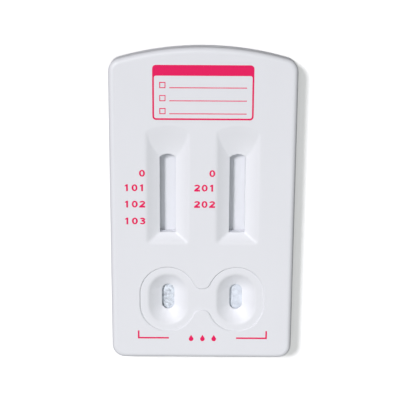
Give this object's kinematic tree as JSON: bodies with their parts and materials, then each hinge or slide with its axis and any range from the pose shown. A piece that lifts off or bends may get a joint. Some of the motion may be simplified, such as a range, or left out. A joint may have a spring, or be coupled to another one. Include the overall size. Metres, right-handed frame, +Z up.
{
  "type": "lateral flow cassette",
  "caption": "Flat white plastic test housing with an arched end, two result windows, two sample wells in a shared shallow pan, and two test strips inside.",
  "frame": {"origin": "on the table, under the middle of the housing as it lies on its back", "axes": "+X across the housing, +Y towards its arched end, +Z up out of the printed face"},
  "size_m": [0.046, 0.08, 0.006],
  "materials": {
    "shell_plastic": "moulded, satin",
    "backing_card": "smooth sheet",
    "membrane": "fine porous film",
    "glass_fibre": "matted fibres",
    "cotton_paper": "thick blotting paper",
    "cover_tape": "smooth film",
    "print_ink": "pad-printed ink"
  },
  "bodies": {
    "root": {"top_shell": "shell_plastic", "bottom_shell": "shell_plastic", "left_backing_card": "backing_card", "left_membrane": "membrane", "left_conjugate_pad": "glass_fibre", "left_sample_pad": "glass_fibre", "left_absorbent_pad": "cotton_paper", "left_cover_tape": "cover_tape", "right_backing_card": "backing_card", "right_membrane": "membrane", "right_conjugate_pad": "glass_fibre", "right_sample_pad": "glass_fibre", "right_absorbent_pad": "cotton_paper", "right_cover_tape": "cover_tape"}
  },
  "joints": []
}
